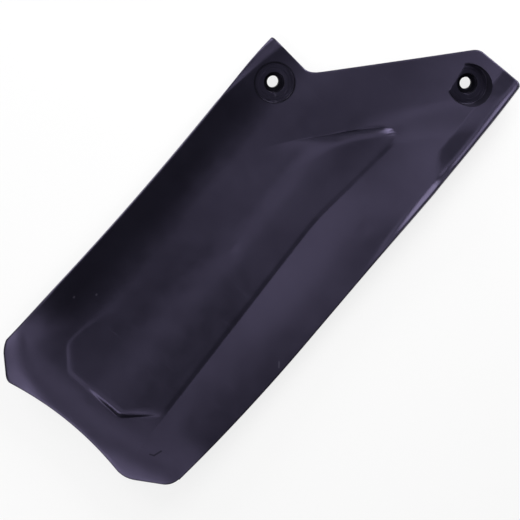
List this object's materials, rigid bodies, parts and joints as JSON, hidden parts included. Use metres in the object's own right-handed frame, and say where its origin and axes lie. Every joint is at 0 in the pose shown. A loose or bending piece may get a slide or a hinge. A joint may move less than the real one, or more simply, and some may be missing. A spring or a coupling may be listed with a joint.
{
  "type": "shock absorber cover",
  "caption": "Moulded black plastic sheet that screws beside a motorcycle's rear shock absorber and keeps mud and stones off it",
  "frame": {"origin": "centre of the underside of the bounding box, on the surface that the cover lies on", "axes": "+X across the sheet to the side with the turned-up lip, +Y along it to the slanted end with the bores, +Z out of its front face"},
  "size_m": [0.1244, 0.2996, 0.0236],
  "materials": {
    "black_plastic": "satin, fine moulded grain"
  },
  "bodies": {
    "root": {"shock_cover": "black_plastic"}
  },
  "joints": []
}
